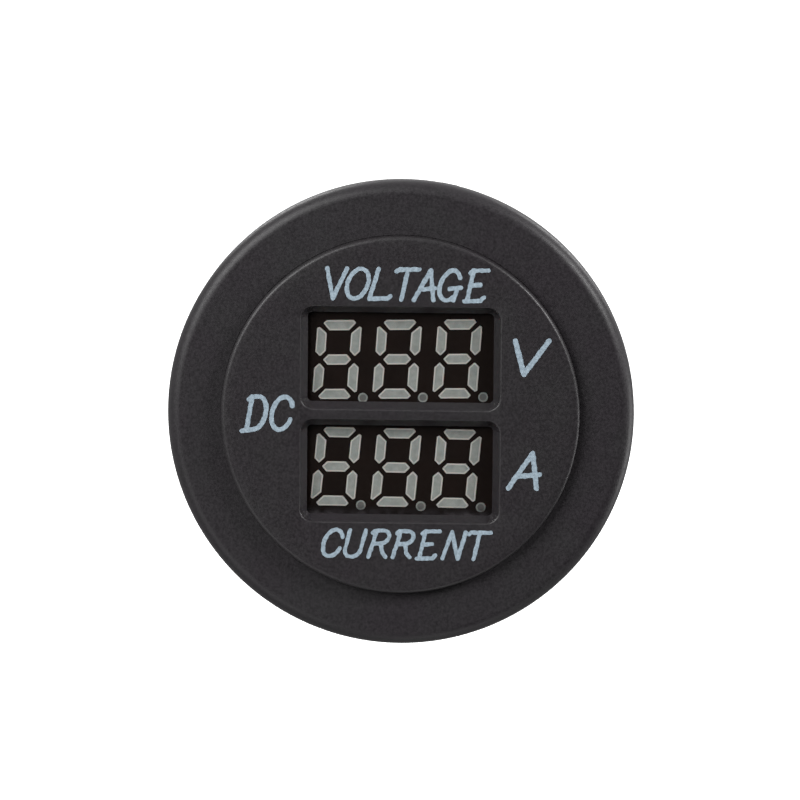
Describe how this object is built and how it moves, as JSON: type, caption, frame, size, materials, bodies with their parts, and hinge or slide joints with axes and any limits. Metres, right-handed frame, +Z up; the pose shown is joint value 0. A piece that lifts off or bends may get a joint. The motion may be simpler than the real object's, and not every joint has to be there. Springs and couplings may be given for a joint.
{
  "type": "panel volt and amp meter",
  "caption": "Round panel-mount DC volt and amp meter with an internal shunt, two LED displays, threaded barrel, keyed washer, ring nut and rear blade terminals.",
  "frame": {"origin": "on the meter's axis, in the plane of the panel's front surface, where the back of the gasket rests", "axes": "+Y along the meter's axis towards its blade terminals, so the face looks along -Y; +Z up as the display is read"},
  "size_m": [0.037, 0.0424, 0.037],
  "materials": {
    "housing_black": "fine spark-eroded matte",
    "face_black": "fine spark-eroded matte",
    "clear_film": "clear gloss",
    "gasket_rubber": "matte",
    "case_black": "satin",
    "segment_resin": "frosted, unlit",
    "board_laminate": "solder mask",
    "chip_epoxy": "moulded matte",
    "chip_ceramic": "matte",
    "capacitor_sleeve": "shrink-sleeved can",
    "shunt_alloy": "drawn wire",
    "tinned_brass": "tin plated",
    "nut_nylon": "satin"
  },
  "bodies": {
    "meter": {"threaded_housing": "housing_black", "face_plate": "face_black", "window_film": "clear_film", "panel_gasket": "gasket_rubber", "rear_cover": "housing_black", "voltage_display_case": "case_black", "voltage_display_segments": "segment_resin", "voltage_display_base": "chip_epoxy", "current_display_case": "case_black", "current_display_segments": "segment_resin", "current_display_base": "chip_epoxy", "display_board": "board_laminate", "link_header": "chip_epoxy", "power_board": "board_laminate", "shunt_element": "shunt_alloy", "filter_capacitor": "capacitor_sleeve", "protection_diode": "chip_epoxy", "voltage_regulator": "chip_epoxy", "sense_amplifier": "chip_epoxy", "resistor_array": "chip_epoxy", "display_board_capacitor": "chip_ceramic", "microcontroller": "chip_epoxy", "power_board_capacitor": "chip_ceramic", "supply_positive_tab": "tinned_brass", "supply_negative_tab": "tinned_brass", "current_in_tab": "tinned_brass", "current_out_tab": "tinned_brass"},
    "clamp_washer": {"clamp_washer": "nut_nylon"},
    "mounting_nut": {"mounting_nut": "nut_nylon"}
  },
  "joints": [
    {"name": "washer_slide", "type": "slide", "parent": "meter", "child": "clamp_washer", "axis": [0, 1, 0], "range_m": [-0.0071, 0.0101]},
    {"name": "nut_turn", "type": "hinge", "parent": "clamp_washer", "child": "mounting_nut", "pos_m": [0, 0.0133, 0], "axis": [0, 1, 0], "range_deg": [-840, 1200]}
  ],
  "couplings": [
    {"joint": "washer_slide", "follows": "nut_turn", "m_per_rad": 0.00047746}
  ]
}
